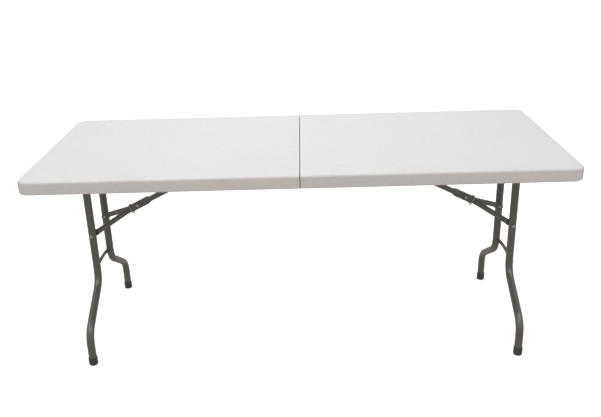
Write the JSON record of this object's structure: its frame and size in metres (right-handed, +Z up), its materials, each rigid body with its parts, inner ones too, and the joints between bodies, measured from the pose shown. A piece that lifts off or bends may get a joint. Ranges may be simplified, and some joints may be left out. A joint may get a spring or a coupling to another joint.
{
  "type": "folding table",
  "caption": "Rectangular fold-in-half utility table with a white moulded top, bent tube legs that fold under it, and locking V braces.",
  "frame": {"origin": "on the floor, under the middle of the open table", "axes": "+X along the table's length towards the right half, +Y across its width away from the front, +Z up"},
  "size_m": [1.83, 0.76, 0.74],
  "materials": {
    "top_plastic": "fine pebble texture",
    "frame_coating": "satin powder coat",
    "foot_rubber": "matt moulded",
    "zinc": "zinc plated",
    "bearing_plastic": "matt moulded",
    "handle_plastic": "matt moulded"
  },
  "bodies": {
    "left_half": {"tabletop_left": "top_plastic", "side_rail_left_front": "frame_coating", "hinge_plate_left_front": "zinc", "pivot_bearing_left_front": "bearing_plastic", "side_rail_left_back": "frame_coating", "hinge_plate_left_back": "zinc", "pivot_bearing_left_back": "bearing_plastic", "hinge_rivets_left": "zinc", "top_screws_left": "zinc", "brace_brackets_left": "frame_coating", "brace_top_pin_left": "zinc", "hinge_pin_front": "zinc", "hinge_pin_back": "zinc", "handle_pins": "zinc"},
    "right_half": {"tabletop_right": "top_plastic", "side_rail_right_front": "frame_coating", "hinge_plate_right_front": "zinc", "pivot_bearing_right_front": "bearing_plastic", "side_rail_right_back": "frame_coating", "hinge_plate_right_back": "zinc", "pivot_bearing_right_back": "bearing_plastic", "hinge_rivets_right": "zinc", "top_screws_right": "zinc", "brace_brackets_right": "frame_coating", "brace_top_pin_right": "zinc"},
    "left_leg_frame": {"leg_tube_left_front": "frame_coating", "leg_tube_left_back": "frame_coating", "foot_cap_left_front": "foot_rubber", "foot_cap_left_back": "foot_rubber", "pivot_tube_left": "frame_coating", "leg_crossbar_left": "frame_coating", "leg_rivets_left": "zinc"},
    "left_upper_link": {"upper_link_left": "frame_coating", "knuckle_pin_left": "zinc"},
    "left_v_brace": {"brace_arm_left_front": "frame_coating", "brace_arm_left_back": "frame_coating", "arm_rivets_left": "zinc"},
    "left_lock_ring": {"lock_ring_left": "zinc"},
    "right_leg_frame": {"leg_tube_right_front": "frame_coating", "leg_tube_right_back": "frame_coating", "foot_cap_right_front": "foot_rubber", "foot_cap_right_back": "foot_rubber", "pivot_tube_right": "frame_coating", "leg_crossbar_right": "frame_coating", "leg_rivets_right": "zinc"},
    "right_upper_link": {"upper_link_right": "frame_coating", "knuckle_pin_right": "zinc"},
    "right_v_brace": {"brace_arm_right_front": "frame_coating", "brace_arm_right_back": "frame_coating", "arm_rivets_right": "zinc"},
    "right_lock_ring": {"lock_ring_right": "zinc"},
    "carry_handle": {"carry_handle": "handle_plastic"}
  },
  "joints": [
    {"name": "center_fold", "type": "hinge", "parent": "left_half", "child": "right_half", "pos_m": [0, 0, 0.6925], "axis": [0, 1, 0], "range_deg": [0, 90]},
    {"name": "left_leg_fold", "type": "hinge", "parent": "left_half", "child": "left_leg_frame", "pos_m": [-0.776, 0, 0.709], "axis": [0, -1, 0], "range_deg": [0, 90]},
    {"name": "left_link_swing", "type": "hinge", "parent": "left_half", "child": "left_upper_link", "pos_m": [-0.196, 0, 0.716], "axis": [0, -1, 0], "range_deg": [-26, 0]},
    {"name": "left_knuckle_bend", "type": "hinge", "parent": "left_upper_link", "child": "left_v_brace", "pos_m": [-0.6194, 0, 0.50503], "axis": [0, -1, 0], "range_deg": [0, 178.57]},
    {"name": "left_lock_slide", "type": "slide", "parent": "left_upper_link", "child": "left_lock_ring", "axis": [0.895, 0, 0.446], "range_m": [0, 0.4]},
    {"name": "right_leg_fold", "type": "hinge", "parent": "right_half", "child": "right_leg_frame", "pos_m": [0.776, 0, 0.709], "axis": [0, 1, 0], "range_deg": [0, 90]},
    {"name": "right_link_swing", "type": "hinge", "parent": "right_half", "child": "right_upper_link", "pos_m": [0.196, 0, 0.716], "axis": [0, 1, 0], "range_deg": [-26, 0]},
    {"name": "right_knuckle_bend", "type": "hinge", "parent": "right_upper_link", "child": "right_v_brace", "pos_m": [0.6194, 0, 0.50503], "axis": [0, 1, 0], "range_deg": [0, 178.57]},
    {"name": "right_lock_slide", "type": "slide", "parent": "right_upper_link", "child": "right_lock_ring", "axis": [-0.895, 0, 0.446], "range_m": [0, 0.4]},
    {"name": "handle_swing", "type": "hinge", "parent": "left_half", "child": "carry_handle", "pos_m": [-0.457, 0.369, 0.705], "axis": [1, 0, 0], "range_deg": [-60, 90]}
  ],
  "couplings": [
    {"joint": "left_link_swing", "follows": "left_leg_fold", "ratio": -0.28873},
    {"joint": "left_knuckle_bend", "follows": "left_leg_fold", "ratio": 1.984},
    {"joint": "left_lock_slide", "follows": "left_leg_fold", "m_per_rad": 0.2546},
    {"joint": "right_link_swing", "follows": "right_leg_fold", "ratio": -0.28873},
    {"joint": "right_knuckle_bend", "follows": "right_leg_fold", "ratio": 1.984},
    {"joint": "right_lock_slide", "follows": "right_leg_fold", "m_per_rad": 0.2546}
  ]
}
